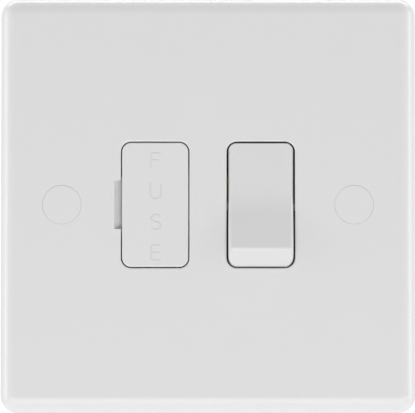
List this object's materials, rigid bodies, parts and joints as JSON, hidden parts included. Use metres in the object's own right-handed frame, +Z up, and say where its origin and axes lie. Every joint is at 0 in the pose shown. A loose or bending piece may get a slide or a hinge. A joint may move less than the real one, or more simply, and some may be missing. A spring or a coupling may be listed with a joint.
{
  "type": "fused spur unit",
  "caption": "Square white wall plate with a draw-out fuse carrier, a rocker switch and capped fixing screws, for feeding a fixed appliance.",
  "frame": {"origin": "on the wall plane, midway between the two fixing screws", "axes": "+X right, +Y back into the wall, +Z up; the plate faces -Y"},
  "size_m": [0.086, 0.0322, 0.086],
  "materials": {
    "white_plastic": "gloss moulded urea",
    "rocker_plastic": "gloss moulded",
    "carrier_plastic": "gloss moulded",
    "cap_plastic": "gloss moulded",
    "housing_plastic": "satin moulded",
    "plunger_plastic": "satin moulded",
    "ceramic": "unglazed ceramic",
    "plated_steel": "nickel plated",
    "zinc_steel": "zinc plated",
    "spring_steel": "drawn wire",
    "element_wire": "drawn wire",
    "fuse_cap_metal": "bright plated",
    "silver_tip": "satin silver",
    "terminal_brass": "machined",
    "screw_brass": "machined",
    "strap_brass": "rolled strip",
    "clip_bronze": "spring temper strip"
  },
  "bodies": {
    "base": {"faceplate": "white_plastic", "rear_housing": "housing_plastic", "fixing_screws": "plated_steel", "housing_screws": "zinc_steel", "supply_live_terminal": "terminal_brass", "supply_neutral_terminal": "terminal_brass", "supply_earth_terminal": "terminal_brass", "load_live_terminal": "terminal_brass", "load_neutral_terminal": "terminal_brass", "load_earth_terminal": "terminal_brass", "terminal_screws": "screw_brass", "earth_strap": "strap_brass", "supply_live_strap": "strap_brass", "supply_neutral_strap": "strap_brass", "live_fixed_strap": "strap_brass", "neutral_fixed_strap": "strap_brass", "load_live_strap": "strap_brass", "live_fixed_tip": "silver_tip", "neutral_fixed_tip": "silver_tip", "lower_fuse_clip": "clip_bronze", "upper_fuse_clip": "clip_bronze"},
    "left_cap": {"left_screw_cap": "cap_plastic"},
    "right_cap": {"right_screw_cap": "cap_plastic"},
    "switch": {"rocker": "rocker_plastic", "live_plunger": "plunger_plastic", "neutral_plunger": "plunger_plastic", "live_spring": "spring_steel", "neutral_spring": "spring_steel"},
    "live_contact": {"live_moving_contact": "strap_brass", "live_moving_tip": "silver_tip"},
    "neutral_contact": {"neutral_moving_contact": "strap_brass", "neutral_moving_tip": "silver_tip"},
    "carrier": {"fuse_carrier": "carrier_plastic", "fuse_barrel": "ceramic", "fuse_element": "element_wire", "fuse_upper_end": "fuse_cap_metal", "fuse_lower_end": "fuse_cap_metal"}
  },
  "joints": [
    {"name": "rocker_tip", "type": "hinge", "parent": "base", "child": "switch", "pos_m": [0.0109, -0.0045, 0], "axis": [1, 0, 0], "range_deg": [0, 16]},
    {"name": "live_contact_tip", "type": "hinge", "parent": "base", "child": "live_contact", "pos_m": [0.0075, 0.00555, 0], "axis": [1, 0, 0], "range_deg": [-20, 0]},
    {"name": "neutral_contact_tip", "type": "hinge", "parent": "base", "child": "neutral_contact", "pos_m": [0.0143, 0.00555, 0], "axis": [1, 0, 0], "range_deg": [-20, 0]},
    {"name": "carrier_draw", "type": "slide", "parent": "base", "child": "carrier", "axis": [0, -1, 0], "range_m": [0, 0.0173]},
    {"name": "left_cap_pull", "type": "slide", "parent": "base", "child": "left_cap", "axis": [0, -1, 0], "range_m": [0, 0.012]},
    {"name": "right_cap_pull", "type": "slide", "parent": "base", "child": "right_cap", "axis": [0, -1, 0], "range_m": [0, 0.012]}
  ],
  "couplings": [
    {"joint": "live_contact_tip", "follows": "rocker_tip", "ratio": -1.25},
    {"joint": "neutral_contact_tip", "follows": "rocker_tip", "ratio": -1.25}
  ]
}
